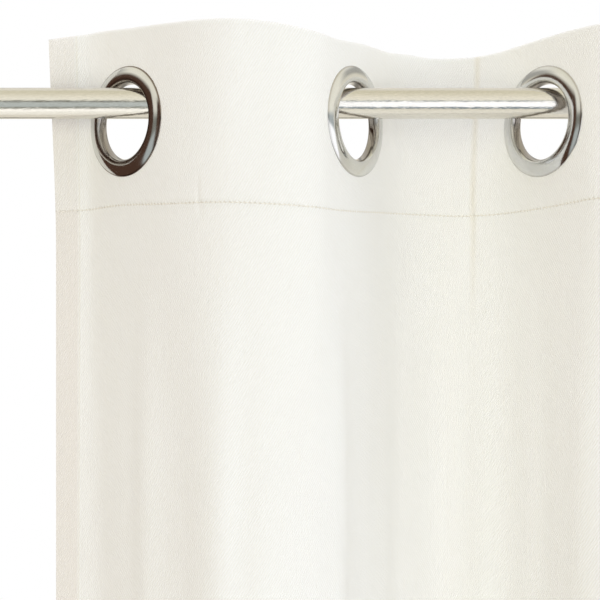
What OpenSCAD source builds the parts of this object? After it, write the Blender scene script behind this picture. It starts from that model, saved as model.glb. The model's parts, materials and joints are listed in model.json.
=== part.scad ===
// Eyelet curtain panel on a wall-mounted rod.
// Frame: +X along the rod, +Z up, the room at -Y. The origin lies on the wall, level with the rod,
// halfway between the two wall plates. Lengths are in millimetres.

/* [Rod] */
// Outer diameter of the rod
rod_d = 16; // [14:1:18]
// Wall thickness of the tube
rod_wall = 1.2; // [0.8:0.1:2]
// Length of the tube
rod_l = 1200; // [1190:5:1240]

/* [Brackets] */
// Distance between the two brackets
bracket_span = 1016; // [1010:2:1020]
// Distance from the wall to the rod's axis
wall_gap = 100; // [90:5:140]
// Diameter of a wall plate
plate_d = 54; // [50:1:64]
// Thickness of a wall plate
plate_t = 5; // [4:0.5:8]
// Diameter of a screw hole in a wall plate
screw_hole_d = 4.5; // [4:0.5:6]
// Distance between a plate's two screw holes
screw_gap = 36; // [34:1:38]
// Diameter of a bracket arm
arm_d = 12; // [10:1:14]

/* [Finials] */
// Diameter of the ball
ball_d = 34; // [28:1:44]
// Diameter of the collar that slips over the rod
collar_d = 21; // [20:0.5:24]

/* [Panel] */
// Height of the finished panel
drop = 1370; // [900:10:1830]
// Thickness of the cloth below the top hem
cloth_t = 1; // [0.8:0.1:1.4]
// Thickness of the top hem
hem_t = 2; // [1.8:0.1:2.4]
// Height of the top edge above the rod's axis
top_rise = 33.7; // [31:0.5:38]
// Depth of the top hem
header_h = 88.5; // [80:0.5:100]
// Thickness of the header tape
tape_t = 0.8; // [0.4:0.1:1]

/* [Eyelets] */
// Outer diameter of an eyelet's flange
eyelet_od = 57.5; // [52:0.5:60]
// Diameter of an eyelet's hole
eyelet_id = 38.8; // [38:0.2:42]
// Depth of an eyelet's centre below the rod's axis
eyelet_sag = 9.6; // [8:0.2:10]
// Height of the flange's dome above the cloth
dome_h = 2; // [1.6:0.1:2.4]
// Thickness of the pressed metal
metal_t = 0.7; // [0.5:0.1:0.9]

/* [Hidden] */
$fn = 64;

// One entry per eyelet, from the free edge to the edge at the finial: the angle between cloth and rod.
CROSS_ANGLE = [41, 57, 60, 56, 58, 55, 58, 56];
// Distance along the rod from each eyelet to the next.
SPACING = [119, 98, 106, 116, 100, 112, 104];
// How far each fold stands off the rod's axis.
FOLD_DEPTH = [38, 44, 40, 45, 41, 43, 42];
EYELETS = len(CROSS_ANGLE);
// The last eyelet sits between the right bracket and the right finial.
LAST_EYELET_X = 540;
// The cloth stays flat over this distance to each side of an eyelet's centre.
FLAT_HALF = 29.5;
// The cloth's two free edges turn parallel to the rod: [reach along the rod, depth behind it].
FREE_TAIL = [42.4, 20];
FIXED_TAIL = [40, 32];
// Gap between two neighbouring stretches of cloth at a fold line.
FOLD_GAP = 1.8;
// Number of steps in each curve of the cloth, and in each arc of an eyelet's section.
CURVE_STEPS = 8;
ARC_STEPS = 6;
// Below the top hem each stretch of cloth is drawn as upright strips that bend little. These are the numbers of
// the points of its line where one strip ends and the next begins, and the width of the gap between the two.
STRIP_ENDS = [CURVE_STEPS / 2, CURVE_STEPS, CURVE_STEPS + 1, CURVE_STEPS * 3 / 2 + 1];
STRIP_GAP = 0.2;
LINE_END = CURVE_STEPS * 2 + 1;

rod_r = rod_d / 2;
cloth_top = top_rise;
cloth_bottom = top_rise - drop;
tape_top = cloth_top - 4;
hem_bottom = cloth_top - header_h;
tape_bottom = hem_bottom + 3;
cloth_hole_r = eyelet_id / 2 + 1.8;
slip = 0.05;        // radial clearance of a piece that slips over another
cup_wall = 4;
cup_r = rod_r + cup_wall;
cup_l = 16;
socket_r = arm_d / 2 + 3;
socket_depth = 10;
socket_mouth = 14;  // from the cup's outside to the socket's mouth
stud_d = 6;
stud_l = 16;
grub_d = 5;
grub_hex_d = 2.5;
ball_r = ball_d / 2;
collar_depth = 18;

SIDES = [-1, 1];
FRAME_NODES = [
    "rod", "rod_cup_left", "rod_cup_right", "cup_grub_screws", "bracket_arm_left", "bracket_arm_right",
    "arm_studs", "wall_plate_left", "wall_plate_right", "finial_left", "finial_right",
    "finial_grub_screws"
];
PANEL_PARTS = ["top_hem_", "header_tape_", "curtain_strips_", "eyelet_front_", "eyelet_back_"];

// ---- Lines and outlines ----

function total(list, from) = from >= len(list) ? 0 : list[from] + total(list, from + 1);

// X of eyelet k, counted from 1 at the free edge.
function eyelet_x(k) = LAST_EYELET_X - total(SPACING, k - 1);

// The cloth to the right of an odd eyelet goes to the room side, and of an even one to the wall side.
function right_side(k) = k % 2 == 1 ? -1 : 1;

function unit(v) = v / norm(v);
function normal_of(v) = [-v[1], v[0]] / norm(v);

// Points of a curve with one control point, without its first point.
function curve(from, control, to) =
    [for (i = [1 : CURVE_STEPS])
        let (u = i / CURVE_STEPS)
        from * (1 - u) * (1 - u) + control * 2 * u * (1 - u) + to * u * u];

// From an eyelet's centre outward: flat at the crossing angle, then a bend that ends parallel to the rod.
function half_line(angle, reach, depth) =
    let (flat_end = FLAT_HALF * [cos(angle), sin(angle)])
    concat([flat_end], curve(flat_end, [depth / tan(angle), depth], [reach, depth]));

function right_half(k) =
    k == EYELETS ? half_line(CROSS_ANGLE[k - 1], FIXED_TAIL[0], FIXED_TAIL[1])
                 : half_line(CROSS_ANGLE[k - 1], (SPACING[k - 1] - FOLD_GAP) / 2, FOLD_DEPTH[k - 1]);

function left_half(k) =
    k == 1 ? half_line(CROSS_ANGLE[0], FREE_TAIL[0], FREE_TAIL[1])
           : half_line(CROSS_ANGLE[k - 1], (SPACING[k - 2] - FOLD_GAP) / 2, FOLD_DEPTH[k - 2]);

function reversed(list) = [for (i = [len(list) - 1 : -1 : 0]) list[i]];

// The line of the cloth through eyelet k, seen from above, relative to the eyelet's centre.
function cloth_line(k) =
    let (side = right_side(k))
    concat([for (p = reversed(left_half(k))) [-p[0], -side * p[1]]],
           [for (p = right_half(k)) [p[0], side * p[1]]]);

// Direction of a line at point i.
function direction(line, i) =
    i == 0 ? unit(line[1] - line[0])
    : i == len(line) - 1 ? unit(line[i] - line[i - 1])
    : unit(unit(line[i] - line[i - 1]) + unit(line[i + 1] - line[i]));

function shifted(line, by) = [for (i = [0 : len(line) - 1]) line[i] + by * normal_of(direction(line, i))];

function part_of(list, from, to) = [for (i = [from : to]) list[i]];

// The outline of a strip of the given thickness that follows a line from one of its points to another.
function strip(line, thickness, from, to) =
    concat(part_of(shifted(line, thickness / 2), from, to),
           reversed(part_of(shifted(line, -thickness / 2), from, to)));

function whole_strip(line, thickness) = strip(line, thickness, 0, len(line) - 1);

function arc_points(centre, r, from, to) =
    [for (i = [0 : ARC_STEPS])
        let (a = from + (to - from) * i / ARC_STEPS)
        centre + r * [cos(a), sin(a)]];

// ---- Panel ----

module at_eyelet(k) {
    translate([eyelet_x(k), -wall_gap, -eyelet_sag])
        rotate([0, 0, right_side(k) * CROSS_ANGLE[k - 1]])
            rotate([90, 0, 0]) children();
}

module cloth_hole(k) {
    at_eyelet(k) cylinder(r = cloth_hole_r, h = 10 * hem_t, center = true);
}

module upright_strip(k, thickness, from, to, bottom, top) {
    translate([eyelet_x(k), -wall_gap, bottom])
        linear_extrude(height = top - bottom) polygon(strip(cloth_line(k), thickness, from, to));
}

module tape_body(k) {
    upright_strip(k, tape_t, 1, LINE_END - 1, tape_bottom, tape_top);
}

// The cut across the cloth's line at one of its points.
module strip_gap(k, i) {
    line = cloth_line(k);
    along = direction(line, i);
    translate([eyelet_x(k) + line[i][0], -wall_gap + line[i][1], (cloth_bottom + hem_bottom) / 2])
        rotate([0, 0, atan2(along[1], along[0])]) cube([STRIP_GAP, 2 * hem_t, drop], center = true);
}

module curtain_strips(k) {
    color([0.94, 0.93, 0.89])
    difference() {
        upright_strip(k, cloth_t, 0, LINE_END, cloth_bottom, hem_bottom);
        for (i = STRIP_ENDS) strip_gap(k, i);
    }
}

module top_hem(k) {
    color([0.92, 0.90, 0.85])
    difference() {
        upright_strip(k, hem_t, 0, LINE_END, hem_bottom, cloth_top);
        tape_body(k);
        cloth_hole(k);
    }
}

module header_tape(k) {
    color([0.97, 0.97, 0.95])
    difference() {
        tape_body(k);
        cloth_hole(k);
    }
}

// Half of an eyelet's section, as [distance from the axis, distance from the cloth's middle].
barrel_r = (eyelet_id + metal_t) / 2;
rim_r = eyelet_od / 2 - metal_t / 2;
lip_r = 2.6;        // the hole opens towards the room over this radius
roll_r = 1.1;       // the barrel's rolled end behind the back ring
barrel_front = hem_t / 2 + dome_h - lip_r - metal_t / 2;
barrel_back = -(hem_t / 2 + 0.7);
rim_lift = hem_t / 2 + metal_t / 2;
dome_top = hem_t / 2 + dome_h - metal_t / 2;

// From the lip's crown the dome falls slowly, then curls down to the cloth at the rim.
function dome_line(crown_r, height, foot) =
    [for (i = [1 : ARC_STEPS])
        let (u = i / ARC_STEPS)
        [crown_r + (rim_r - crown_r) * sin(90 * u), foot + (height - foot) * cos(90 * u)]];

function front_line() = concat(
    reversed(arc_points([barrel_r + roll_r, barrel_back], roll_r, 180, 270)),
    arc_points([barrel_r + lip_r, barrel_front], lip_r, 180, 90),
    dome_line(barrel_r + lip_r, dome_top, rim_lift));

function back_line() = concat(
    [[barrel_r + 1, -rim_lift], [barrel_r + 2.4, -rim_lift - 0.1]],
    arc_points([barrel_r + 4.2, -rim_lift - 0.1], 1.3, 180, 270),
    [for (p = dome_line(barrel_r + 4.2, rim_lift + 1.4, rim_lift)) [p[0], -p[1]]]);

module eyelet_front(k) {
    color([0.83, 0.82, 0.79])
    at_eyelet(k) rotate_extrude() polygon(whole_strip(front_line(), metal_t));
}

module eyelet_back(k) {
    color([0.80, 0.79, 0.76])
    at_eyelet(k) rotate_extrude() polygon(whole_strip(back_line(), metal_t));
}

// ---- Rod and finials ----

module along_rod(x, length, r) {
    translate([x, -wall_gap, 0]) rotate([0, 90, 0]) cylinder(r = r, h = length);
}

module rod() {
    color([0.77, 0.76, 0.73])
    difference() {
        along_rod(-rod_l / 2, rod_l, rod_r);
        along_rod(-rod_l / 2 - 1, rod_l + 2, rod_r - rod_wall);
    }
}

// A finial is drawn with the rod's end at its origin and the ball towards +Z.
module finial_body() {
    neck_r = collar_d / 2 - 3;
    difference() {
        union() {
            translate([0, 0, -collar_depth]) cylinder(d = collar_d, h = collar_depth + 4);
            translate([0, 0, 4]) cylinder(r = neck_r, h = 6);
            translate([0, 0, 8]) cylinder(d = collar_d - 2, h = 2.5);
            translate([0, 0, 8 + ball_r]) sphere(r = ball_r, $fn = 96);
        }
        translate([0, 0, -collar_depth - 1]) cylinder(r = rod_r + slip, h = collar_depth + 1);
    }
}

module at_rod_end(side) {
    translate([side * rod_l / 2, -wall_gap, 0]) rotate([0, side * 90, 0]) children();
}

module grub_hole_at(x, outer_r) {
    translate([x, -wall_gap, -outer_r - 1]) cylinder(d = grub_d, h = outer_r + 1);
}

function finial_grub_x(side) = side * (rod_l / 2 - collar_depth / 2);

module finial(side) {
    color([0.75, 0.74, 0.71])
    difference() {
        at_rod_end(side) finial_body();
        grub_hole_at(finial_grub_x(side), collar_d / 2);
    }
}

// A grub screw that stands under the rod, with its point on the rod and a hex socket below.
module grub_screw(x, length) {
    socket = length / 2;
    translate([x, -wall_gap, -rod_r - length])
    difference() {
        cylinder(d = grub_d - 2 * slip, h = length);
        translate([0, 0, -1]) cylinder(d = grub_hex_d, h = socket + 1, $fn = 6);
    }
}

module finial_grub_screws() {
    color([0.35, 0.35, 0.36])
    for (side = SIDES) grub_screw(finial_grub_x(side), collar_d / 2 - rod_r);
}

// ---- Brackets ----

module along_arm(x, from, to, r) {
    translate([x, -to, 0]) rotate([-90, 0, 0]) cylinder(r = r, h = to - from);
}

socket_end = wall_gap - cup_r - socket_mouth;   // distance from the wall to the socket's mouth
arm_front = socket_end + socket_depth;          // distance from the wall to the arm's front end

function bracket_x(side) = side * bracket_span / 2;

module rod_cup(side) {
    x = bracket_x(side);
    color([0.76, 0.75, 0.72])
    difference() {
        union() {
            along_rod(x - cup_l / 2, cup_l, cup_r);
            along_arm(x, socket_end, wall_gap, socket_r);
        }
        along_rod(x - cup_l, 2 * cup_l, rod_r + slip);
        along_arm(x, socket_end - 1, arm_front, arm_d / 2 + slip);
        grub_hole_at(x, cup_r);
    }
}

module cup_grub_screws() {
    color([0.35, 0.35, 0.36])
    for (side = SIDES) grub_screw(bracket_x(side), cup_wall);
}

module bracket_arm(side) {
    x = bracket_x(side);
    color([0.76, 0.75, 0.72])
    difference() {
        along_arm(x, plate_t, arm_front, arm_d / 2);
        along_arm(x, plate_t - 1, stud_l, stud_d / 2 + slip);
    }
}

module arm_studs() {
    color([0.6, 0.6, 0.6])
    for (side = SIDES) along_arm(bracket_x(side), 1, stud_l - 0.5, stud_d / 2);
}

module wall_plate(side) {
    x = bracket_x(side);
    rim = 1.2;
    sink_d = 2 * screw_hole_d - 0.6;
    color([0.76, 0.75, 0.72])
    difference() {
        translate([x, 0, 0]) rotate([90, 0, 0]) {
            cylinder(d = plate_d, h = plate_t - rim);
            translate([0, 0, plate_t - rim]) cylinder(d1 = plate_d, d2 = plate_d - 2 * rim, h = rim);
        }
        along_arm(x, -1, plate_t + 1, stud_d / 2 + slip);
        for (end = SIDES) translate([x, 0, end * screw_gap / 2]) rotate([90, 0, 0]) {
            translate([0, 0, -1]) cylinder(d = screw_hole_d, h = plate_t + 2);
            translate([0, 0, plate_t - 2]) cylinder(d1 = screw_hole_d, d2 = sink_d, h = 2.01);
        }
    }
}

// ---- The pieces ----

rod();
rod_cup(-1);  // rod_cup_left
rod_cup(1);  // rod_cup_right
cup_grub_screws();
bracket_arm(-1);  // bracket_arm_left
bracket_arm(1);  // bracket_arm_right
arm_studs();
wall_plate(-1);  // wall_plate_left
wall_plate(1);  // wall_plate_right
finial(-1);  // finial_left
finial(1);  // finial_right
finial_grub_screws();

for (k = [1 : EYELETS]) {
    top_hem(k);
    header_tape(k);
    curtain_strips(k);
    eyelet_front(k);
    eyelet_back(k);
}
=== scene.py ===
import json
import math
import random

import bpy
import numpy as np
from mathutils import Matrix, Vector


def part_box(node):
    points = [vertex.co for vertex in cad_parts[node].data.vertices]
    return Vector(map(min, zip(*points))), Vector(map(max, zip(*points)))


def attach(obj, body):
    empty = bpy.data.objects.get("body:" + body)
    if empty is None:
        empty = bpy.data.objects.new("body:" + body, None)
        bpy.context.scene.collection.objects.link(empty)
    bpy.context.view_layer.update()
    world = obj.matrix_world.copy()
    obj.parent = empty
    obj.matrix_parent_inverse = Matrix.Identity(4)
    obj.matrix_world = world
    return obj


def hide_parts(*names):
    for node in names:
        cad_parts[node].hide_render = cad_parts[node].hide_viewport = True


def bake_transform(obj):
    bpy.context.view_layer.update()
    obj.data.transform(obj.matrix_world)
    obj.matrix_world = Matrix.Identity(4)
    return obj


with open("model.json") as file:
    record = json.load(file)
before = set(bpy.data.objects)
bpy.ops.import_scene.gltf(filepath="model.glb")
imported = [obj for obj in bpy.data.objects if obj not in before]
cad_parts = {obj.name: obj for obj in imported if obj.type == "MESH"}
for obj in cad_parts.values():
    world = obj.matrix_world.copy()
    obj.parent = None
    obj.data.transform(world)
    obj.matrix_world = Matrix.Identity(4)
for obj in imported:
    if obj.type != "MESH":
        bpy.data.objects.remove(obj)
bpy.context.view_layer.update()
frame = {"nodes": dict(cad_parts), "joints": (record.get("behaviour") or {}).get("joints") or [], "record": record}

MM = 0.001

# ---- Places and sizes that come from the frame, in millimetres ----

JOINT = {joint["name"]: joint for joint in frame["joints"]}
EYELETS = sum(name.startswith("eyelet_front_") for name in frame["nodes"])


def box_mm(node):
    """The lowest and highest corners of a CAD node at rest."""
    low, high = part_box(node)
    return np.array(low) / MM, np.array(high) / MM


def hinge_mm(joint):
    """Where a joint's upright axis stands, seen from above."""
    return np.array(JOINT[joint]["pos_m"][:2]) / MM


rod_low, rod_high = box_mm("rod")
ROD_R = (rod_high[2] - rod_low[2]) / 2
ROD_Y, ROD_Z = (rod_low[1] + rod_high[1]) / 2, (rod_low[2] + rod_high[2]) / 2
ring_low, ring_high = box_mm("eyelet_front_1")
EYELET_Z = (ring_low[2] + ring_high[2]) / 2
EYELET_R = 28.75        # outside radius of an eyelet
HOLE_R = 19.4           # radius of the hole through it


def cloth_nodes(k):
    """The CAD nodes that stand in for the cloth at eyelet k."""
    nodes = frame["record"]["behaviour"]["bodies"][f"panel_{k}"]
    return [name for name in nodes if not name.startswith("eyelet")]


CLOTH_TOP = max(box_mm(name)[1][2] for name in cloth_nodes(1))
CLOTH_BOTTOM = min(box_mm(name)[0][2] for name in cloth_nodes(1))

# Each fold line is halfway between its two eyelets, so the row of eyelets follows from the joints.
eyelet_x = [hinge_mm("draw_curtain")[0]]
fold_depth = []
for k in range(EYELETS - 1, 0, -1):
    fold_x, fold_y = hinge_mm(f"fold_line_{k}")
    eyelet_x.insert(0, 2 * fold_x - eyelet_x[0])
    fold_depth.insert(0, abs(fold_y - ROD_Y))
SPACING = np.diff(eyelet_x)

# ---- The cloth's own measures, in millimetres ----

CROSS_ANGLE = [41, 57, 60, 56, 58, 55, 58, 56]   # between the cloth and the rod at each eyelet, in degrees
FLAT_HALF = 29.5        # the cloth is flat this far to each side of an eyelet's centre
FREE_TAIL = (41.4, 20)  # the two edges turn parallel to the rod: reach along it, depth behind it
FIXED_TAIL = (40, 32)
PLAN_STEP = 0.5         # spacing of the points in the line that the cloth follows
HEADER_H = 88.5         # depth of the top hem
BOTTOM_HEM_H = 80
SIDE_HEM_W = 13
STITCH_PITCH = 2.4
HEADER_HALF_T = 1.0     # half the thickness of the layers in the top hem
CLOTH_HALF_T = 0.5
CLOTH_H = CLOTH_TOP - CLOTH_BOTTOM
BOTTOM_LINE = CLOTH_H - BOTTOM_HEM_H    # depth of the bottom hem's stitches
CLOTH_HOLE_R = 23.2     # the hole in the cloth ends out of sight under the eyelet's flange

CREASE_EYELET = 3               # the pressed crease is in the fold before this eyelet
CREASE_SHARE = (0.59, 0.92)     # its place, as a share of that fold's half width and depth
CREASE_ANGLES = (38, 14)        # the cloth's angle on each side of it
CREASE_TO_EYELET = 47.5         # along the cloth
EYELET_TO_PUCKER = 53           # from the first eyelet to the small pucker at the stitch line
PUCKER_DEPTH = 86

# ---- Camera ----

CAMERA_FROM_EYELET_1 = 90.5     # to the right of it
CAMERA_FROM_ROD = 521           # out into the room
CAMERA_BELOW_ROD = 102.4


def make_camera():
    data = bpy.data.cameras.new("camera")
    data.sensor_width = 36
    data.lens = 60
    camera = bpy.data.objects.new("camera", data)
    camera.location = (
        (eyelet_x[0] + CAMERA_FROM_EYELET_1) * MM,
        (ROD_Y - CAMERA_FROM_ROD) * MM,
        (ROD_Z - CAMERA_BELOW_ROD) * MM,
    )
    camera.rotation_euler = (math.radians(90), 0, 0)
    bpy.context.scene.collection.objects.link(camera)
    bpy.context.scene.camera = camera


make_camera()

# ---- Node helpers ----


class Nodes:
    """Short calls for building one node tree."""

    def __init__(self, tree):
        self.tree = tree
        tree.nodes.clear()

    def add(self, kind, inputs=(), **settings):
        node = self.tree.nodes.new(kind)
        for name, value in settings.items():
            setattr(node, name, value)
        for key, value in dict(inputs).items():
            if isinstance(value, bpy.types.NodeSocket):
                self.tree.links.new(value, node.inputs[key])
            else:
                node.inputs[key].default_value = value
        return node

    def math(self, operation, a, b=0.0, c=0.0):
        node = self.add("ShaderNodeMath", {0: a, 1: b, 2: c}, operation=operation)
        return node.outputs[0]

    def range(self, value, low, high, to_low=0.0, to_high=1.0, smooth=False):
        node = self.add(
            "ShaderNodeMapRange",
            {"Value": value, "From Min": low, "From Max": high, "To Min": to_low, "To Max": to_high},
            interpolation_type="SMOOTHSTEP" if smooth else "LINEAR",
        )
        return node.outputs["Result"]

    def mix(self, factor, a, b, blend="MIX"):
        node = self.add("ShaderNodeMix", data_type="RGBA", blend_type=blend)
        for socket, value in ((node.inputs[0], factor), (node.inputs[6], a), (node.inputs[7], b)):
            if isinstance(value, bpy.types.NodeSocket):
                self.tree.links.new(value, socket)
            else:
                socket.default_value = value
        return node.outputs[2]

    def noise(self, vector, scale, detail=3.0, roughness=0.5):
        node = self.add(
            "ShaderNodeTexNoise",
            {"Vector": vector, "Scale": scale, "Detail": detail, "Roughness": roughness},
        )
        return node.outputs["Fac"]

    def scaled(self, vector, factors):
        node = self.add("ShaderNodeMapping", {"Vector": vector, "Scale": factors})
        return node.outputs["Vector"]

    def bump(self, height, strength, distance, normal=None):
        inputs = {"Height": height, "Strength": strength, "Distance": distance}
        if normal is not None:
            inputs["Normal"] = normal
        return self.add("ShaderNodeBump", inputs).outputs["Normal"]


def new_material(name):
    material = bpy.data.materials.new(name)
    material.use_nodes = True
    return material, Nodes(material.node_tree)


def colour(r, g, b):
    return (r, g, b, 1.0)


# ---- Materials ----

# The twill, in metres: between two ribs, across and down the cloth, and between two yarns each way.
RIB_PITCH = 0.00135
RIB_CLIMB = 0.0023
YARN_PITCH = 0.00046
PICK_PITCH = 0.00052
STEEL_TONE = (0.74, 0.715, 0.665)


def line_at(n, u, place, half_width):
    """1 on the line at one place along the cloth, in millimetres, and 0 beside it."""
    away = n.math("ABSOLUTE", n.math("SUBTRACT", u, place * MM))
    return n.range(away, 0.0, half_width * MM * 2, 1.0, 0.0, smooth=True)


def twill_weave(n, uv, u, v):
    """Diagonal ribs that climb to the right, and the yarns across them. Gives the ribs and the height."""
    wander = n.noise(uv, 260.0, 2.0)
    across, down = n.math("MULTIPLY", u, 1.0 / RIB_PITCH), n.math("MULTIPLY", v, 1.0 / RIB_CLIMB)
    phase = n.math("ADD", n.math("SUBTRACT", across, down), n.math("MULTIPLY", wander, 0.55))
    rib = n.range(n.math("SINE", n.math("MULTIPLY", phase, 2 * math.pi)), -1.0, 1.0)
    yarn = n.math("SINE", n.math("MULTIPLY", u, 2 * math.pi / YARN_PITCH))
    pick = n.math("SINE", n.math("MULTIPLY", v, 2 * math.pi / PICK_PITCH))
    threads = n.range(n.math("MULTIPLY", yarn, pick), -1.0, 1.0)
    fuzz = n.noise(uv, 2600.0, 2.0)
    height = n.math("ADD", n.math("MULTIPLY", rib, 0.6), n.math("MULTIPLY", threads, 0.25))
    return rib, n.math("ADD", height, n.math("MULTIPLY", fuzz, 0.25))


def needle_holes(n, u, v):
    """The holes along the two hems' stitch lines."""
    across = n.math("PINGPONG", u, STITCH_PITCH * MM / 2)
    holes = None
    for line_depth in (HEADER_H, BOTTOM_LINE):
        down = n.math("ADD", v, line_depth * MM)
        away = n.math("SQRT", n.math("ADD", n.math("POWER", across, 2.0), n.math("POWER", down, 2.0)))
        dot = n.range(away, 0.00025, 0.00085, 1.0, 0.0, smooth=True)
        holes = dot if holes is None else n.math("MAXIMUM", holes, dot)
    return holes


def painted_fold_shade(n, u, v):
    """Painted shade: darker beige lines along the crease and along the folded edges of the side hems."""
    fade = n.range(v, -0.150, -0.080)
    marks = n.math("MULTIPLY", line_at(n, u, CREASE_S, 1.7), n.math("MULTIPLY", fade, 0.45))
    for place, strength in ((SIDE_HEM_W, 0.35), (SIDE_HEM_W - 5.5, 0.12), (CLOTH_W - SIDE_HEM_W, 0.35)):
        marks = n.math("MAXIMUM", marks, n.math("MULTIPLY", line_at(n, u, place, 0.4), strength))
    return marks


def side_hem_painted_shade(n, u, v):
    """Painted shade on the strip of the side hem at the free edge, where the hem's extra layer lies; weaker inside
    the top hem.
    """
    layer = n.range(u, (SIDE_HEM_W + 0.2) * MM, (SIDE_HEM_W - 1.4) * MM)
    in_top_hem = n.range(v, -HEADER_H * MM, (0.3 - HEADER_H) * MM, 0.0, 0.35)
    return n.math("MAXIMUM", n.math("SUBTRACT", layer, in_top_hem), 0.0)


def cloth_material():
    """Off-white cotton twill. The UV map holds metres along the cloth and metres below its top edge."""
    material, n = new_material("cotton_twill")
    uv = n.add("ShaderNodeUVMap", uv_map="cloth").outputs["UV"]
    u, v, _ = n.add("ShaderNodeSeparateXYZ", {0: uv}).outputs
    rib, height = twill_weave(n, uv, u, v)
    holes = needle_holes(n, u, v)

    # Colour: slow shifts, slubs along the warp, and painted shade in the grooves between the ribs.
    slow = n.noise(n.scaled(uv, (14.0, 6.0, 1.0)), 1.0, 3.0)
    slub = n.noise(n.scaled(uv, (1500.0, 60.0, 1.0)), 1.0, 2.0)
    base = n.mix(n.range(slow, 0.35, 0.65), colour(0.925, 0.917, 0.886), colour(0.948, 0.944, 0.920))
    base = n.mix(n.range(slub, 0.60, 0.80, 0.0, 0.45), base, colour(0.90, 0.87, 0.79))
    # Painted shade: the grooves between the twill's ribs are darker.
    base = n.mix(n.range(rib, 0.0, 1.0, 0.40, 0.0), base, colour(0.82, 0.785, 0.70))
    # Painted shade in the needle holes along the stitch lines.
    base = n.mix(n.math("MULTIPLY", holes, 0.42), base, colour(0.76, 0.68, 0.53))
    # Painted shade along the crease and the side hems' folded edges.
    base = n.mix(painted_fold_shade(n, u, v), base, colour(0.79, 0.73, 0.59))
    # Painted shade on the side hem strip at the free edge.
    base = n.mix(n.math("MULTIPLY", side_hem_painted_shade(n, u, v), 0.68), base, colour(0.83, 0.77, 0.705))

    normal = n.bump(height, 0.6, 0.00030)
    normal = n.bump(n.math("MULTIPLY", holes, -1.0), 0.6, 0.0004, normal)
    shader = n.add(
        "ShaderNodeBsdfPrincipled",
        {
            "Base Color": base,
            "Roughness": 0.92,
            "Normal": normal,
            "Sheen Weight": 0.12,
            "Sheen Roughness": 0.6,
            "Specular IOR Level": 0.2,
        },
    )
    n.add("ShaderNodeOutputMaterial", {"Surface": shader.outputs[0]})
    return material


def thread_material():
    material, n = new_material("hem_thread")
    place = n.add("ShaderNodeTexCoord").outputs["Object"]
    twist = n.noise(place, 3000.0, 2.0)
    base = n.mix(n.range(twist, 0.3, 0.7), colour(0.80, 0.75, 0.65), colour(0.90, 0.87, 0.80))
    shader = n.add(
        "ShaderNodeBsdfPrincipled",
        {"Base Color": base, "Roughness": 0.6, "Normal": n.bump(twist, 0.5, 0.0001)},
    )
    n.add("ShaderNodeOutputMaterial", {"Surface": shader.outputs[0]})
    return material


def nickel_material():
    """Polished nickel plate with a faint haze and hairline marks."""
    material, n = new_material("polished_nickel")
    place = n.add("ShaderNodeTexCoord").outputs["Object"]
    haze = n.noise(place, 90.0, 4.0)
    marks = n.noise(n.scaled(place, (400.0, 400.0, 3000.0)), 1.0, 2.0)
    rough = n.math("ADD", n.range(haze, 0.3, 0.7, 0.07, 0.15), n.range(marks, 0.62, 0.8, 0.0, 0.12))
    base = n.mix(n.range(haze, 0.3, 0.7), colour(0.655, 0.655, 0.635), colour(0.71, 0.71, 0.69))
    # Painted shade and reflection: darkens the metal's colour at the rim (painted contact shadow), inside the
    # barrel (painted shade) and inside the free-edge eyelet's crest (painted dark brown reflection).
    painted_shade_and_reflection = n.add("ShaderNodeAttribute", attribute_name="painted_shade_and_reflection").outputs["Fac"]
    base = n.mix(n.math("MULTIPLY", painted_shade_and_reflection, 0.85), base, colour(0.13, 0.085, 0.06))
    shader = n.add(
        "ShaderNodeBsdfPrincipled",
        {
            "Base Color": base,
            "Metallic": 1.0,
            "Roughness": rough,
            "Normal": n.bump(haze, 0.05, 0.0003),
        },
    )
    n.add("ShaderNodeOutputMaterial", {"Surface": shader.outputs[0]})
    return material


def brushed_material(name, along, tone, rough_low, rough_high):
    """Satin steel whose fine scratches run along one axis."""
    material, n = new_material(name)
    place = n.add("ShaderNodeTexCoord").outputs["Object"]
    stretch = [3200.0, 3200.0, 3200.0]
    stretch[along] = 380.0
    lines = n.noise(n.scaled(place, stretch), 1.0, 3.0, 0.6)
    coarse = [950.0, 950.0, 950.0]
    coarse[along] = 260.0
    patches = n.noise(n.scaled(place, coarse), 1.0, 2.0)
    base = n.mix(
        n.range(lines, 0.3, 0.7),
        colour(*[c * 0.92 for c in tone]),
        colour(*[min(1.0, c * 1.05) for c in tone]),
    )
    rough = n.range(lines, 0.3, 0.7, rough_low, rough_high)
    rough = n.math("ADD", rough, n.range(patches, 0.5, 0.8, 0.0, 0.05))
    normal = n.bump(n.math("ADD", lines, n.math("MULTIPLY", patches, 2.2)), 0.30, 0.0001)
    shader = n.add(
        "ShaderNodeBsdfPrincipled",
        {"Base Color": base, "Metallic": 1.0, "Roughness": rough, "Normal": normal},
    )
    n.add("ShaderNodeOutputMaterial", {"Surface": shader.outputs[0]})
    return material


def screw_material():
    material, n = new_material("dark_screw_steel")
    place = n.add("ShaderNodeTexCoord").outputs["Object"]
    spots = n.noise(place, 900.0, 3.0)
    base = n.mix(spots, colour(0.12, 0.12, 0.125), colour(0.24, 0.24, 0.245))
    shader = n.add(
        "ShaderNodeBsdfPrincipled",
        {
            "Base Color": base,
            "Metallic": 1.0,
            "Roughness": n.range(spots, 0.3, 0.7, 0.3, 0.5),
            "Normal": n.bump(spots, 0.1, 0.0001),
        },
    )
    n.add("ShaderNodeOutputMaterial", {"Surface": shader.outputs[0]})
    return material


THREAD = thread_material()
NICKEL = nickel_material()
ROD_STEEL = brushed_material("rod_brushed_steel", 0, STEEL_TONE, 0.06, 0.12)
BRACKET_STEEL = brushed_material("bracket_satin_steel", 1, STEEL_TONE, 0.24, 0.34)
SCREW_STEEL = screw_material()

# ---- The cloth's line, seen from above ----


def from_degrees(angle):
    return np.array([math.cos(math.radians(angle)), math.sin(math.radians(angle))])


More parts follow.
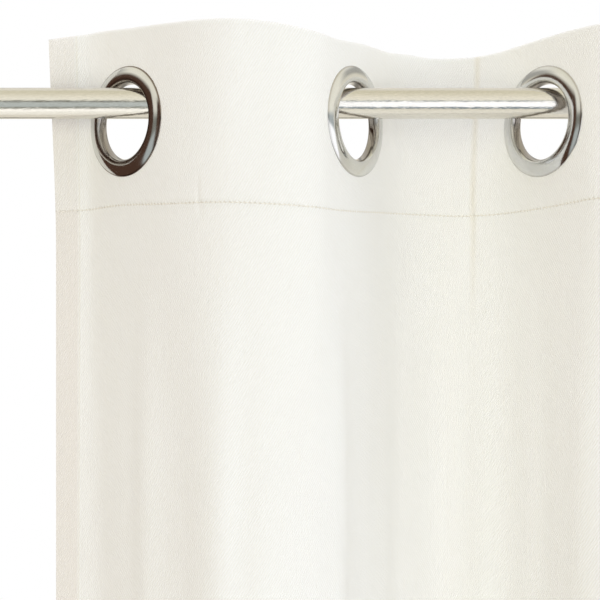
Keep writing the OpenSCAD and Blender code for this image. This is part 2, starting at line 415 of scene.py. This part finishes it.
def crossing(a, direction_a, b, direction_b):
    """Where two lines meet."""
    t = np.linalg.solve(np.column_stack([direction_a, -direction_b]), b - a)
    return a + t[0] * direction_a


def bend(start, control, end, steps=40):
    t = np.linspace(0, 1, steps + 1)[1:, None]
    return start * (1 - t) ** 2 + control * 2 * t * (1 - t) + end * t**2


def half_line(angle, reach, depth):
    """From an eyelet's centre outward: flat at the crossing angle, then a bend that ends along the rod."""
    flat_end = FLAT_HALF * from_degrees(angle)
    end = np.array([reach, depth], float)
    control = np.array([depth / math.tan(math.radians(angle)), depth])
    return np.vstack([np.linspace((0, 0), flat_end, 30), bend(flat_end, control, end)])


def creased_half_line(angle, reach, depth):
    """As half_line, with a pressed crease on the way."""
    flat_end = FLAT_HALF * from_degrees(angle)
    end = np.array([reach, depth], float)
    crease = end * CREASE_SHARE
    before, after = (from_degrees(a) for a in CREASE_ANGLES)
    first = bend(flat_end, crossing(flat_end, from_degrees(angle), crease, before), crease)
    second = bend(crease, crossing(crease, after, end, np.array([1.0, 0.0])), end)
    return np.vstack([np.linspace((0, 0), flat_end, 30), first, second])


def plan_line():
    """All points of the cloth's line, and the index of each eyelet's centre on it."""
    points, centres = [], []
    for k in range(1, EYELETS + 1):
        angle = CROSS_ANGLE[k - 1]
        right_side = -1 if k % 2 else 1
        left = FREE_TAIL if k == 1 else (SPACING[k - 2] / 2, fold_depth[k - 2])
        right = FIXED_TAIL if k == EYELETS else (SPACING[k - 1] / 2, fold_depth[k - 1])
        shape = creased_half_line if k == CREASE_EYELET else half_line
        left_points = shape(angle, *left)[::-1] * (-1, -right_side)
        right_points = half_line(angle, *right) * (1, right_side)
        centre = np.array([eyelet_x[k - 1], ROD_Y])
        if points:
            left_points = left_points[1:]
        centres.append(sum(len(p) for p in points) + len(left_points) - 1)
        points += [centre + left_points, centre + right_points[1:]]
    return np.vstack(points), centres


line, centre_index = plan_line()
along = np.concatenate([[0], np.cumsum(np.linalg.norm(np.diff(line, axis=0), axis=1))])
CLOTH_W = along[-1]
eyelet_s = [along[i] for i in centre_index]
even = np.linspace(0, CLOTH_W, int(CLOTH_W / PLAN_STEP) + 1)
even_line = np.column_stack([np.interp(even, along, line[:, i]) for i in range(2)])


def smoothed(values, sigma):
    """A Gaussian average along the line. Its ends are continued by point reflection, so they stay put."""
    reach = int(4 * sigma / PLAN_STEP)
    taps = np.exp(-0.5 * (np.arange(-reach, reach + 1) * PLAN_STEP / sigma) ** 2)
    taps /= taps.sum()
    start = 2 * values[0] - values[1 : reach + 1][::-1]
    end = 2 * values[-1] - values[-reach - 1 : -1][::-1]
    padded = np.vstack([start, values, end])
    return np.column_stack([np.convolve(padded[:, i], taps, "valid") for i in range(2)])


PRESSED = smoothed(even_line, 1.6)      # the line at the rod
RELAXED = smoothed(even_line, 11.0)     # the line far below it

CREASE_S = eyelet_s[CREASE_EYELET - 1] - CREASE_TO_EYELET
PUCKER_S = eyelet_s[0] + EYELET_TO_PUCKER
CLOTH = cloth_material()

# ---- The cloth's surface ----


def smooth_step(value, low, high):
    t = np.clip((value - low) / (high - low), 0, 1)
    return t * t * (3 - 2 * t)


def bump_at(value, centre, width):
    return np.exp(-0.5 * ((value - centre) / width) ** 2)


def columns():
    """Places along the cloth: an even grid, finer at hems, crease and pucker, and exact at the eyelets."""
    marks = [0.0] + eyelet_s + [CLOTH_W]
    places = []
    for low, high in zip(marks, marks[1:]):
        places += list(np.linspace(low, high, max(2, int((high - low) / 2.6)) + 1))
    for hem in (SIDE_HEM_W, CLOTH_W - SIDE_HEM_W):
        places += [hem - 2, hem - 1.2, hem - 0.6, hem, hem + 0.6, hem + 1.2, hem + 2]
    places += [PUCKER_S + d for d in (-3, -2, -1.2, -0.6, 0, 0.6, 1.2, 2, 3)]
    places += [CREASE_S + d for d in (-2.4, -1.2, -0.5, 0, 0.5, 1.2, 2.4)]
    places = sorted(places)
    kept = [places[0]]
    for place in places[1:]:
        exact = any(abs(place - m) < 1e-6 for m in marks)
        if place - kept[-1] > 0.35:
            kept.append(place)
        elif exact:
            kept[-1] = place
    return np.array(kept)


def rows():
    """Depths below the top edge, fine in the top hem and at the stitch lines."""
    depths = [0, 0.5, 1.2, 2.2] + list(np.arange(4.5, HEADER_H - 3, 2.6))
    depths += [HEADER_H + d for d in (-2.4, -1.5, -0.8, 0, 0.8, 1.6, 3.0, 5.0)]
    depths += list(np.arange(HEADER_H + 8, HEADER_H + 60, 4))
    depths += list(np.arange(HEADER_H + 64, BOTTOM_LINE - 6, 9))
    depths += [BOTTOM_LINE + d for d in (-3.0, -1.6, -0.8, 0, 0.8, 1.6, 3.0)]
    depths += list(np.arange(BOTTOM_LINE + 8, CLOTH_H - 4, 7))
    depths += [CLOTH_H - d for d in (2.2, 1.2, 0.5, 0)]
    return np.array(depths)


# Where the top edge and the stitch line stand above (+) or below (-) their level:
# [eyelet, offset from it along the cloth, width, rise].
TOP_EDGE_RISES = [
    (1, -28, 16, 4.2), (1, 0, 29, 4.3), (2, -27, 21, -4.6), (2, 51, 8, 1.4), (3, 35, 10, -1.0),
    (5, 20, 30, 2.5), (7, -25, 26, -3.0),
]
STITCH_RISES = [
    (1, -6, 22, 1.9), (2, -25, 29, -2.2), (2, 50, 18, 0.6), (3, -44, 22, -0.7), (3, 41, 20, 2.2),
    (5, 10, 30, 1.2), (6, 30, 26, -1.6),
]


def rise(s, rises):
    return sum(size * bump_at(s, eyelet_s[k - 1] + offset, width) for k, offset, width, size in rises)


# Soft vertical waves of the loose cloth below the top hem: wavelength, height, drift of phase with depth.
random.seed(16)
LOOSE_WAVES = [
    (length, size, random.uniform(0, 2 * math.pi), random.uniform(-1, 1) * 2 * math.pi / 900)
    for length, size in ((61, 1.5), (37, 0.75), (23.5, 0.30), (16.5, 0.12))
]


def loose_waves(s, depth):
    total = 0
    for length, size, start, drift in LOOSE_WAVES:
        total = total + size * np.sin(2 * math.pi * s / length + start + drift * depth)
    return total


def height_of(s, depth):
    """Height of each point: the top edge and the stitch line aren't quite level."""
    in_header = np.clip(depth / HEADER_H, 0, 1)
    loose_fade = 1 - smooth_step(depth - HEADER_H, 0, 240)
    level = CLOTH_TOP - depth
    level = level + rise(s, TOP_EDGE_RISES) * (1 - in_header)
    return level + rise(s, STITCH_RISES) * in_header * loose_fade


def plan_of(s, depth, level):
    """Each point seen from above: pressed flat at the eyelets, and softer further below the hem."""
    relax = smooth_step(depth - HEADER_H, -10, 230) * 0.9 + 0.06
    near = np.zeros_like(s)
    for centre in eyelet_s:
        near = np.maximum(near, 1 - smooth_step(np.abs(s - centre), 27, 42))
    near = near * (1 - smooth_step(np.abs(level - EYELET_Z), 34, 60))
    relax = relax * (1 - near)
    pressed = np.stack([np.interp(s, even, PRESSED[:, i]) for i in range(2)], -1)
    relaxed = np.stack([np.interp(s, even, RELAXED[:, i]) for i in range(2)], -1)
    return pressed * (1 - relax[..., None]) + relaxed * relax[..., None]


def bulge_of(s, depth):
    """How far each point stands out of the smooth cloth: loose waves, the pucker and the crease."""
    free = smooth_step(depth - HEADER_H, 6, 150)
    out = loose_waves(s, depth) * free * smooth_step(s, 4, 40)
    out -= 0.55 * bump_at(s, PUCKER_S, 1.1) * bump_at(depth, PUCKER_DEPTH, 5)
    out += 0.30 * bump_at(s, PUCKER_S + 2.4, 1.2) * bump_at(depth, PUCKER_DEPTH - 1, 5)
    out -= 0.30 * bump_at(s, CREASE_S, 1.3) * (1 - smooth_step(depth, 90, 150))
    return out


def surface():
    """The cloth's middle surface: its points, and the place of each along and below the top edge."""
    s, depth = np.meshgrid(columns(), rows())
    level = height_of(s, depth)
    plan = plan_of(s, depth, level)
    tangent = np.gradient(plan, axis=1)
    tangent /= np.linalg.norm(tangent, axis=-1)[..., None]
    out = bulge_of(s, depth)

    # Folds open and wander a little towards the bottom.
    fall = smooth_step(depth - HEADER_H, 0, CLOTH_H - HEADER_H)
    wander = 4.0 * np.sin(2 * math.pi * s / 430 + 1.1) + 2.5 * np.sin(2 * math.pi * s / 190 + depth / 320)
    x = plan[..., 0] + wander * fall * smooth_step(s, 0, 60)
    y = ROD_Y + (plan[..., 1] - ROD_Y) * (1 + 0.10 * fall)

    # The free corner leans towards the room above the rod, and the crease pulls its fold to the left.
    lean = (1 - smooth_step(s, -10, 34)) * (1 - smooth_step(depth, -30, 110))
    x = x - 3.0 * lean + tangent[..., 1] * out
    x = x - 2.6 * bump_at(s, CREASE_S, 12) * smooth_step(depth, 0, 80)
    y = y - 9.0 * lean - tangent[..., 0] * out
    return np.stack([x, y, level], -1), s, depth


def grid_normals(points):
    """Unit normals of a grid of points, on the room side."""
    down, right = np.gradient(points, axis=0), np.gradient(points, axis=1)
    normals = np.cross(down, right)
    normals /= np.linalg.norm(normals, axis=-1)[..., None]
    return normals if normals[..., 1].mean() < 0 else -normals


def half_thickness(s, depth, front):
    """Distance of the cloth's room side, or of its back, from its middle surface."""
    header = 1 - smooth_step(depth, HEADER_H, HEADER_H + (2.5 if front else 1.2))
    bottom = smooth_step(depth, BOTTOM_LINE - 1.2, BOTTOM_LINE)
    left_side = 1 - smooth_step(s, SIDE_HEM_W - 0.4, SIDE_HEM_W + 0.6)
    right_side = smooth_step(s, CLOTH_W - SIDE_HEM_W - 0.6, CLOTH_W - SIDE_HEM_W + 0.4)
    side = np.maximum(left_side, right_side) * (0.45 if front else 0.8)
    layers = np.maximum(header, np.maximum(bottom * 0.7, side))
    half = CLOTH_HALF_T + (HEADER_HALF_T - CLOTH_HALF_T) * layers
    # Rows of stitches pull the faces together.
    for line_depth in (HEADER_H, BOTTOM_LINE):
        half = half - 0.32 * bump_at(depth, line_depth, 0.8)
    if front:
        for step in (SIDE_HEM_W + 0.8, CLOTH_W - SIDE_HEM_W - 0.8):
            half = half - 0.22 * bump_at(s, step, 0.6)
    # The cloth's own edges are rounded.
    edge = np.minimum(np.minimum(s, CLOTH_W - s), np.minimum(depth, CLOTH_H - depth))
    return half * np.sqrt(1 - (1 - np.clip(edge / 1.2, 0.12, 1)) ** 2)


MIDDLE, GRID_S, GRID_DEPTH = surface()
MIDDLE_NORMALS = grid_normals(MIDDLE)
FRONT = MIDDLE + MIDDLE_NORMALS * half_thickness(GRID_S, GRID_DEPTH, True)[..., None]
BACK = MIDDLE - MIDDLE_NORMALS * half_thickness(GRID_S, GRID_DEPTH, False)[..., None]
FRONT_NORMALS, BACK_NORMALS = grid_normals(FRONT), -grid_normals(BACK)
COLUMN_S = GRID_S[0]


def eyelet_centre(k):
    return np.array([eyelet_x[k - 1], ROD_Y, EYELET_Z])


def new_object(name, mesh, material):
    mesh.materials.append(material)
    made = bpy.data.objects.new(name, mesh)
    bpy.context.scene.collection.objects.link(made)
    return made


def cloth_quads(grid):
    """The faces of one side of the cloth between two columns, without those inside the eyelets' holes."""
    middle = MIDDLE[:, grid]
    row_count, column_count = middle.shape[:2]
    index = np.arange(row_count * column_count).reshape(row_count, column_count)
    quads = np.stack([index[:-1, :-1], index[1:, :-1], index[1:, 1:], index[:-1, 1:]], -1).reshape(-1, 4)
    centres = middle.reshape(-1, 3)[quads].mean(1)
    kept = np.ones(len(quads), bool)
    for k in range(1, EYELETS + 1):
        kept &= np.linalg.norm(centres - eyelet_centre(k), axis=1) > CLOTH_HOLE_R
    return quads[kept]


def open_edges(quads):
    """The edges that only one face has, as pairs of points in that face's order."""
    edges = {}
    for quad in quads:
        for a, b in zip(quad, np.roll(quad, -1)):
            edges[(int(a), int(b))] = True
    return [(a, b) for a, b in edges if (b, a) not in edges]


def set_uv(mesh, flat, corners):
    """The UV map holds metres of flat cloth."""
    layer = mesh.uv_layers.new(name="cloth")
    layer.data.foreach_set("uv", flat[corners].astype(np.float32).ravel())


def set_normals(mesh, point_normals, corners, wall_start):
    """The faces keep the normals of the whole cloth, so nothing shows where two pieces meet."""
    normals = point_normals[corners]
    for polygon in mesh.polygons[wall_start:]:
        for i in polygon.loop_indices:
            normals[i] = polygon.normal
    mesh.normals_split_custom_set(normals.tolist())


def both_sides(front, back, grid):
    """The rows of two grids between two columns, as one list."""
    return np.vstack([front[:, grid].reshape(-1, 3), back[:, grid].reshape(-1, 3)])


def cloth_piece(name, first, last):
    """The cloth between two columns: two sides joined round every open edge, with holes at the eyelets."""
    grid = slice(first, last + 1)
    quads = cloth_quads(grid)
    points = both_sides(FRONT, BACK, grid) * MM
    count = len(points) // 2
    walls = [(b, a, a + count, b + count) for a, b in open_edges(quads)]
    faces = quads.tolist() + (quads[:, ::-1] + count).tolist() + walls
    used = np.zeros(2 * count, bool)
    used[np.unique(np.concatenate([np.array(f) for f in faces]))] = True
    renumber = np.cumsum(used) - 1
    mesh = bpy.data.meshes.new(name)
    mesh.from_pydata(points[used].tolist(), [], [[int(renumber[i]) for i in f] for f in faces])
    flat = np.column_stack([GRID_S[:, grid].ravel(), -GRID_DEPTH[:, grid].ravel()]) * MM
    corners = np.array([loop.vertex_index for loop in mesh.loops])
    set_uv(mesh, np.vstack([flat, flat])[used], corners)
    mesh.shade_smooth()
    set_normals(mesh, both_sides(FRONT_NORMALS, BACK_NORMALS, grid)[used], corners, 2 * len(quads))
    return new_object(name, mesh, CLOTH)


def column_at(place):
    return int(np.argmin(np.abs(COLUMN_S - place)))


# One stitch: [share of its pitch, lift off the cloth, radius of the thread].
STITCH_RINGS = [
    (0.17, -0.16, 0.10), (0.34, 0.08, 0.19), (0.5, 0.14, 0.21), (0.66, 0.08, 0.19), (0.83, -0.16, 0.10),
]
THREAD_SIDES = 6
HEM_END = 1.5           # no stitch starts this near the cloth's sides


def stitch_points(number, row):
    """The points of one stitch, ring by ring."""
    points = []
    for share, lift, radius in STITCH_RINGS:
        place = number * STITCH_PITCH + STITCH_PITCH * share
        point = np.array([np.interp(place, COLUMN_S, FRONT[row, :, i]) for i in range(3)])
        normal = np.array([np.interp(place, COLUMN_S, MIDDLE_NORMALS[row, :, i]) for i in range(3)])
        point = point + normal * lift
        for step in range(THREAD_SIDES):
            turn = 2 * math.pi * step / THREAD_SIDES
            upward = np.array([0, 0, radius * math.sin(turn)])
            points.append(tuple((point + normal * radius * math.cos(turn) + upward) * MM))
    return points


def stitch_faces(start):
    """The faces of one stitch whose points begin at a number: a tube with two ends."""
    faces = []
    for ring in range(len(STITCH_RINGS) - 1):
        for step in range(THREAD_SIDES):
            a = start + ring * THREAD_SIDES + step
            b = start + ring * THREAD_SIDES + (step + 1) % THREAD_SIDES
            faces.append((a, b, b + THREAD_SIDES, a + THREAD_SIDES))
    last = start + (len(STITCH_RINGS) - 1) * THREAD_SIDES
    faces.append(tuple(start + i for i in range(THREAD_SIDES))[::-1])
    faces.append(tuple(last + i for i in range(THREAD_SIDES)))
    return faces


def stitch_line(name, depth, first, last):
    """The thread of one hem on the room side: a row of short stitches that dip into the cloth."""
    low, high = COLUMN_S[first], COLUMN_S[last]
    start = math.ceil(max(low, HEM_END) / STITCH_PITCH)
    stop = math.floor((min(high, CLOTH_W - HEM_END) - STITCH_PITCH) / STITCH_PITCH)
    row = int(np.argmin(np.abs(GRID_DEPTH[:, 0] - depth)))
    vertices, faces = [], []
    for number in range(start, stop + 1):
        faces += stitch_faces(len(vertices))
        vertices += stitch_points(number, row)
    mesh = bpy.data.meshes.new(name)
    mesh.from_pydata(vertices, [], faces)
    mesh.shade_smooth()
    return new_object(name, mesh, THREAD)


def hang(piece, between):
    """Rides an end piece on the panel's first or last stretch; a piece between two eyelets only gets its place
    baked into its mesh.
    """
    left, right = between
    if left < 1 or right > EYELETS:
        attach(piece, f"panel_{min(max(left, 1), EYELETS)}")
        return
    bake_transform(piece)


def make_cloth():
    splits = [0] + [column_at(place) for place in eyelet_s] + [len(COLUMN_S) - 1]
    for number, (first, last) in enumerate(zip(splits, splits[1:])):
        piece = cloth_piece(f"curtain_cloth_{number + 1}", first, last)
        between = (number, number + 1)
        hang(piece, between)
        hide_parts(*cloth_nodes(min(number + 1, EYELETS)))
        for hem, depth in (("top", HEADER_H), ("bottom", BOTTOM_LINE)):
            thread = stitch_line(f"{hem}_hem_stitches_{number + 1}", depth, first, last)
            hang(thread, between)


make_cloth()

# ---- Round parts ----


def lathe(name, outline, around):
    """A mesh of revolution about Z. The outline is [radius, height] in millimetres."""
    outline = np.array(outline, float)
    turns = np.linspace(0, 2 * math.pi, around, endpoint=False)
    count = len(outline)
    vertices = [(r * math.cos(t) * MM, r * math.sin(t) * MM, z * MM) for t in turns for r, z in outline]
    faces = []
    for i in range(around):
        j = (i + 1) % around
        for a in range(count):
            b = (a + 1) % count
            faces.append((i * count + a, j * count + a, j * count + b, i * count + b))
    mesh = bpy.data.meshes.new(name)
    mesh.from_pydata(vertices, [], faces)
    mesh.shade_smooth()
    mesh.validate()
    return mesh


def arc(centre, radius, start, end, steps):
    """Points of an arc, its angles in degrees."""
    angles = np.radians(np.linspace(start, end, steps + 1))
    return [(centre[0] + radius * math.cos(a), centre[1] + radius * math.sin(a)) for a in angles]


def spline(points, steps=8):
    """A smooth line through the points."""
    p = np.array([points[0]] + list(points) + [points[-1]], float)
    made = []
    for i in range(1, len(p) - 2):
        for t in np.linspace(0, 1, steps, endpoint=False):
            made.append(
                0.5 * (
                    2 * p[i]
                    + (p[i + 1] - p[i - 1]) * t
                    + (2 * p[i - 1] - 5 * p[i] + 4 * p[i + 1] - p[i + 2]) * t**2
                    + (3 * p[i] - p[i - 1] - 3 * p[i + 1] + p[i + 2]) * t**3
                )
            )
    made.append(p[-2])
    return [tuple(q) for q in made]


METAL_T = 0.7           # thickness of an eyelet's metal
CREST_R = 22.4          # radius of the eyelet's highest ring
FLANGE_CURVE_R = 11.2   # the flange's section is an arc of this radius
# How much shade is painted on the rim (a painted contact shadow) and how much dark brown reflection is painted
# inside the crest. The eyelet at the free edge gets the most.
EYELET_PAINTED_SHADE = (0.3, 0.0)
FREE_EYELET_PAINTED_SHADE_AND_REFLECTION = (1.0, 0.9)


def thick(middle, thickness):
    """The closed outline of a strip of metal that follows a line."""
    middle = np.array(middle)
    direction = np.gradient(middle, axis=0)
    direction /= np.linalg.norm(direction, axis=1)[:, None]
    side = np.column_stack([-direction[:, 1], direction[:, 0]]) * thickness / 2
    return np.vstack([middle + side, (middle - side)[::-1]])


def eyelet_front_outline():
    """Rolled end at the back, a funnel that opens to the room, a crest, and a flange that curves down."""
    barrel = HOLE_R + METAL_T / 2
    rolled = arc((barrel + 1.1, -1.7), 1.1, 270, 180, 8)
    funnel = spline([(barrel, -1.1), (barrel + 0.15, 0.2), (barrel + 0.60, 1.5), (barrel + 1.05, 2.20)], 6)
    crest = spline([(barrel + 1.05, 2.20), (barrel + 1.35, 2.51), (barrel + 1.75, 2.67), (CREST_R, 2.70)], 5)
    flange = arc((CREST_R, 2.70 - FLANGE_CURVE_R), FLANGE_CURVE_R, 90, 58.5, 24)
    rim = [(EYELET_R - 0.42, 0.95), (EYELET_R - 0.36, 0.72)]
    return thick(rolled + funnel + crest[1:] + flange[1:] + rim, METAL_T)


def eyelet_back_outline():
    barrel = HOLE_R + METAL_T / 2
    middle = [
        (barrel + 1.0, -1.35), (barrel + 2.3, -1.42), (barrel + 3.0, -2.0), (barrel + 4.3, -2.65),
        (barrel + 6.2, -2.45), (EYELET_R - 0.9, -1.7), (EYELET_R - 0.36, -1.2),
    ]
    return thick(spline(middle, 6), METAL_T)


def mark_painted_shade_and_reflection(mesh, rim_strength, crest_strength):
    """Stores where shade and reflection are painted on the metal, from 0 to 1: a painted contact shadow at the
    rim, a painted dark brown reflection inside the crest, and painted shade inside the barrel.
    """
    layer = mesh.attributes.new("painted_shade_and_reflection", "FLOAT", "POINT")
    for vertex, item in zip(mesh.vertices, layer.data):
        radius, height = math.hypot(vertex.co.x, vertex.co.y) / MM, vertex.co.z / MM
        rim = smooth_step(radius, EYELET_R - 0.95, EYELET_R - 0.55) * rim_strength
        crest = bump_at(radius, CREST_R - 1.1, 0.75) * (height > 0) * crest_strength
        barrel = (1 - smooth_step(radius, HOLE_R + 0.3, HOLE_R + 1.5)) * 0.7
        item.value = float(max(rim, crest, barrel))


def at_eyelet(k):
    """Takes a ring about Z to its eyelet, square to the cloth there."""
    side = -1 if k % 2 else 1
    turn = Matrix.Rotation(math.radians(side * CROSS_ANGLE[k - 1]), 4, "Z")
    upright = Matrix.Rotation(math.radians(90), 4, "X")
    return Matrix.Translation(Vector(eyelet_centre(k) * MM)) @ turn @ upright


def make_eyelets():
    for half, outline in (("front", eyelet_front_outline()), ("back", eyelet_back_outline())):
        for k in range(1, EYELETS + 1):
            mesh = lathe(f"eyelet_{half}_ring_{k}", outline, 144)
            # Paints contact shadow, barrel shade and, on the free-edge eyelet, a dark brown reflection into the
            # metal's colour.
            mark_painted_shade_and_reflection(mesh, *(FREE_EYELET_PAINTED_SHADE_AND_REFLECTION if k == 1 else EYELET_PAINTED_SHADE))
            mesh.transform(at_eyelet(k))
            made = new_object(f"eyelet_{half}_ring_{k}", mesh, NICKEL)
            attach(made, f"panel_{k}")
            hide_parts(f"eyelet_{half}_{k}")


make_eyelets()


ROD_WALL = 1.2
ROD_BEVEL = 0.3         # the rod's outer edges are broken by two small flats each
BEVEL_STEP = 0.1


def make_rod():
    outer, inner, half = ROD_R, ROD_R - ROD_WALL, (rod_high[0] - rod_low[0]) / 2
    outline = [(outer, z) for z in np.linspace(-half + ROD_BEVEL, half - ROD_BEVEL, 60)]
    outline += [(outer - BEVEL_STEP, half - BEVEL_STEP), (outer - ROD_BEVEL, half)]
    outline += [(inner, half), (inner, -half)]
    outline += [(outer - ROD_BEVEL, -half), (outer - BEVEL_STEP, -half + BEVEL_STEP)]
    mesh = lathe("steel_rod", outline, 96)
    middle = Vector((0, ROD_Y * MM, ROD_Z * MM))
    mesh.transform(Matrix.Translation(middle) @ Matrix.Rotation(math.radians(90), 4, "Y"))
    made = new_object("steel_rod", mesh, ROD_STEEL)
    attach(made, "root")
    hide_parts("rod")


make_rod()


def finish_hardware():
    """The CAD's own brackets, finials and screws keep their shapes and get finished materials."""
    for name, node in frame["nodes"].items():
        if "grub" in name or "studs" in name:
            material = SCREW_STEEL
        elif name.startswith(("rod_cup", "bracket_arm", "wall_plate", "finial")):
            material = BRACKET_STEEL
        else:
            continue
        for slot in node.material_slots:
            slot.material = material


finish_hardware()

# ---- Floor, light and surroundings ----

FLOOR_GAP = 70          # below the curtain
FLOOR_R = 1250
FLOOR_SIDES = 96


def make_floor():
    mesh = bpy.data.meshes.new("floor")
    rim = arc((0, ROD_Y), FLOOR_R, 0, 360, FLOOR_SIDES)[:-1]
    points = [(x * MM, y * MM, (CLOTH_BOTTOM - FLOOR_GAP) * MM) for x, y in rim]
    mesh.from_pydata(points, [], [tuple(range(FLOOR_SIDES))])
    material, n = new_material("pale_floor")
    shader = n.add("ShaderNodeBsdfPrincipled", {"Base Color": colour(0.62, 0.62, 0.61), "Roughness": 0.8})
    n.add("ShaderNodeOutputMaterial", {"Surface": shader.outputs[0]})
    floor = new_object("floor", mesh, material)
    floor.visible_glossy = False


def towards(azimuth, elevation):
    """Unit vector. Azimuth 0 is towards the room, positive to the right."""
    a, e = math.radians(azimuth), math.radians(elevation)
    return (math.sin(a) * math.cos(e), -math.cos(a) * math.cos(e), math.sin(e))


def lobe(n, direction, azimuth, elevation, power):
    """Brightness that is 1 towards one direction and fades around it."""
    inputs = {0: direction, 1: towards(azimuth, elevation)}
    node = n.add("ShaderNodeVectorMath", inputs, operation="DOT_PRODUCT")
    return n.math("POWER", n.math("MAXIMUM", node.outputs["Value"], 0.0), power)


def diffuse_studio(n, direction):
    """The soft light of the studio, as a sum of broad lobes."""
    total = None
    for azimuth, elevation, tint in SOFT_LIGHTS:
        level = lobe(n, direction, azimuth, elevation, 6.0)
        part = n.add("ShaderNodeVectorMath", {0: tint, "Scale": level}, operation="SCALE").outputs[0]
        if total is None:
            total = part
        else:
            total = n.add("ShaderNodeVectorMath", {0: total, 1: part}, operation="ADD").outputs[0]
    return total


def banded(n, level, stops):
    """Colour by height, where stops are [height, colour] and height goes from -1 to 1."""
    ramp = n.add("ShaderNodeValToRGB", {0: n.range(level, -1.0, 1.0)})
    elements = ramp.color_ramp.elements
    elements.remove(elements[0])
    for number, (height, shade) in enumerate(stops):
        element = elements[0] if number == 0 else elements.new((height + 1) / 2)
        element.position = (height + 1) / 2
        element.color = colour(*shade)
    return ramp.outputs[0]


def mirrored_studio(n, direction):
    """What polished metal shows: softboxes in bands, a dark brown screen at the left, warm walls behind."""
    x, y, z = n.add("ShaderNodeSeparateXYZ", {0: direction}).outputs
    to_right = n.range(x, -0.13, 0.06, smooth=True)
    front = n.mix(to_right, banded(n, z, LEFT_BANDS), banded(n, z, RIGHT_BANDS))
    to_back = n.range(y, 0.05, 0.35, smooth=True)
    studio = n.mix(to_back, front, banded(n, z, BACK_BANDS))
    # The screen's far edge leans, and its near part has a bright slit in it.
    lean = n.math("ADD", y, n.math("MULTIPLY", z, 0.4))
    screen = n.math("MULTIPLY", n.range(x, -0.38, -0.44), n.range(lean, 0.52, 0.42))
    tall = n.math("MULTIPLY", n.range(z, 0.52, 0.36), n.range(z, -0.90, -0.78))
    screen = n.math("MULTIPLY", screen, tall)
    slit = n.math("MULTIPLY", n.range(y, -0.34, -0.42), n.range(y, -0.72, -0.64))
    screen = n.math("MULTIPLY", screen, n.math("SUBTRACT", 1.0, n.math("MULTIPLY", slit, 0.85)))
    return n.mix(screen, studio, colour(0.085, 0.045, 0.03))


def make_world():
    """A white studio: plain white to the camera, soft lobes of light, and its own picture in metal."""
    world = bpy.data.worlds.new("studio")
    bpy.context.scene.world = world
    world.use_nodes = True
    n = Nodes(world.node_tree)
    direction = n.add("ShaderNodeTexCoord").outputs["Generated"]
    rays = n.add("ShaderNodeLightPath")
    lit = n.mix(rays.outputs["Is Glossy Ray"], diffuse_studio(n, direction), mirrored_studio(n, direction))
    shown = n.mix(rays.outputs["Is Camera Ray"], lit, colour(1.0, 1.0, 1.0))
    background = n.add("ShaderNodeBackground", {"Color": shown, "Strength": 1.0})
    n.add("ShaderNodeOutputWorld", {"Surface": background.outputs[0]})


# Soft light from [azimuth, elevation], and its colour and strength.
SOFT_LIGHTS = [
    (0, -15, (2.01, 2.05, 2.08)), (-35, 0, (0.76, 0.75, 0.41)), (-80, 0, (0.28, 0.10, 0.04)),
    (35, 0, (0.14, 0.14, 0.13)), (80, 0, (2.06, 2.14, 2.32)), (-150, 10, (1.56, 1.60, 1.60)),
    (150, 10, (0.60, 0.58, 0.75)), (-120, 50, (1.35, 1.45, 1.22)), (-40, 50, (0.45, 0.51, 0.80)),
    (40, 50, (0.16, 0.17, 0.10)), (120, 50, (0.76, 0.70, 0.32)), (0, 90, (1.60, 1.53, 1.90)),
    (0, -60, (0.14, 0.05, 0.05)), (180, -60, (1.60, 1.60, 1.60)),
]

# Brightness of the mirrored surroundings by height, from straight down (-1) to straight up (1).
LEFT_BANDS = [
    (-1.00, (1.05, 1.03, 0.94)), (-0.90, (1.34, 1.33, 1.28)), (-0.78, (1.36, 1.34, 1.30)),
    (-0.70, (0.34, 0.35, 0.31)), (-0.61, (0.34, 0.35, 0.31)), (-0.54, (0.58, 0.64, 0.645)),
    (-0.06, (0.60, 0.65, 0.65)), (0.02, (0.27, 0.28, 0.25)), (0.14, (0.27, 0.28, 0.25)),
    (0.24, (1.10, 1.08, 0.97)), (0.60, (1.04, 1.00, 0.87)), (0.90, (0.88, 0.84, 0.68)),
    (1.00, (0.80, 0.76, 0.60)),
]
RIGHT_BANDS = [
    (-1.00, (1.03, 1.01, 0.93)), (-0.90, (1.00, 0.98, 0.88)), (-0.77, (0.90, 0.85, 0.75)),
    (-0.72, (0.18, 0.26, 0.32)), (-0.63, (0.18, 0.26, 0.32)), (-0.58, (1.42, 1.44, 1.50)),
    (0.00, (1.45, 1.46, 1.52)), (0.06, (0.52, 0.56, 0.57)), (0.16, (0.52, 0.56, 0.57)),
    (0.22, (1.10, 1.07, 0.96)), (0.60, (1.02, 0.98, 0.85)), (0.90, (0.88, 0.84, 0.68)),
    (1.00, (0.80, 0.76, 0.60)),
]
BACK_BANDS = [
    (-1.00, (0.90, 0.86, 0.76)), (-0.75, (0.96, 0.92, 0.82)), (-0.62, (0.45, 0.43, 0.38)),
    (-0.40, (0.50, 0.49, 0.45)), (-0.28, (0.92, 0.88, 0.77)), (0.05, (1.02, 0.99, 0.90)),
    (0.34, (0.90, 0.85, 0.72)), (0.44, (0.48, 0.47, 0.43)), (0.56, (0.50, 0.49, 0.46)),
    (0.66, (1.00, 0.97, 0.88)), (1.00, (0.88, 0.85, 0.76)),
]

make_floor()
make_world()

scene = bpy.context.scene
scene.view_settings.view_transform = "Standard"
scene.view_settings.look = "None"
